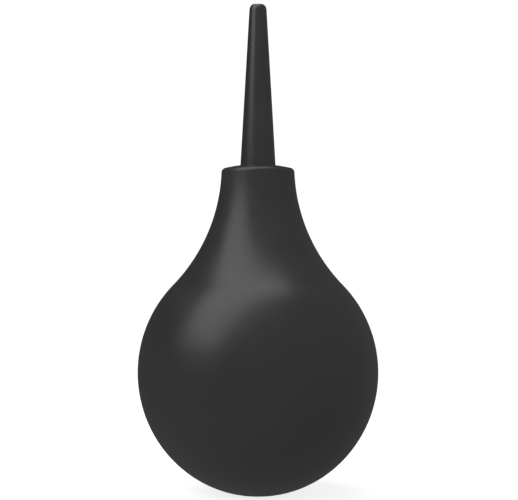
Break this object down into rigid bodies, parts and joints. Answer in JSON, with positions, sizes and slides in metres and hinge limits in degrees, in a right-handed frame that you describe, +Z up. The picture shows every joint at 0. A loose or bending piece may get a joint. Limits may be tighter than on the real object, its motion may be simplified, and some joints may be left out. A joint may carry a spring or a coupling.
{
  "type": "dust blower bulb",
  "caption": "Hand-squeezed rubber bulb with a tapered nozzle that blows dust off small work, with an intake valve in its base and a check valve in its neck.",
  "frame": {"origin": "centre of the foot ring, on the plane the blower stands on", "axes": "+Z up along the bulb's axis towards the nozzle's tip; the body is round, so +X and +Y are free"},
  "size_m": [0.062, 0.062, 0.1265],
  "materials": {
    "bulb_rubber": "satin moulded black",
    "nozzle_plastic": "satin moulded black",
    "valve_plastic": "moulded black",
    "valve_silicone": "translucent off-white silicone",
    "screen_steel": "etched stainless sheet",
    "clip_steel": "bright spring steel"
  },
  "bodies": {
    "bulb": {"bulb": "bulb_rubber", "intake_valve_body": "valve_plastic", "intake_valve_cage": "valve_plastic", "intake_screen": "screen_steel", "screen_clip": "clip_steel"},
    "neck": {"neck_bush": "valve_plastic", "outlet_valve_cage": "valve_plastic"},
    "nozzle": {"nozzle": "nozzle_plastic"},
    "intake_flap": {"intake_valve_disc": "valve_silicone"},
    "outlet_flap": {"outlet_valve_disc": "valve_silicone"}
  },
  "joints": [
    {"name": "squeeze", "type": "slide", "parent": "bulb", "child": "neck", "axis": [0, 0, -1], "range_m": [0, 0.02], "stiffness_N_per_m": 900, "deforming": ["bulb"]},
    {"name": "nozzle_pull", "type": "slide", "parent": "neck", "child": "nozzle", "axis": [0, 0, 1], "range_m": [0, 0.018]},
    {"name": "intake_lift", "type": "slide", "parent": "bulb", "child": "intake_flap", "axis": [0, 0, 1], "range_m": [0, 0.001]},
    {"name": "outlet_lift", "type": "slide", "parent": "neck", "child": "outlet_flap", "axis": [0, 0, 1], "range_m": [0, 0.001]}
  ]
}
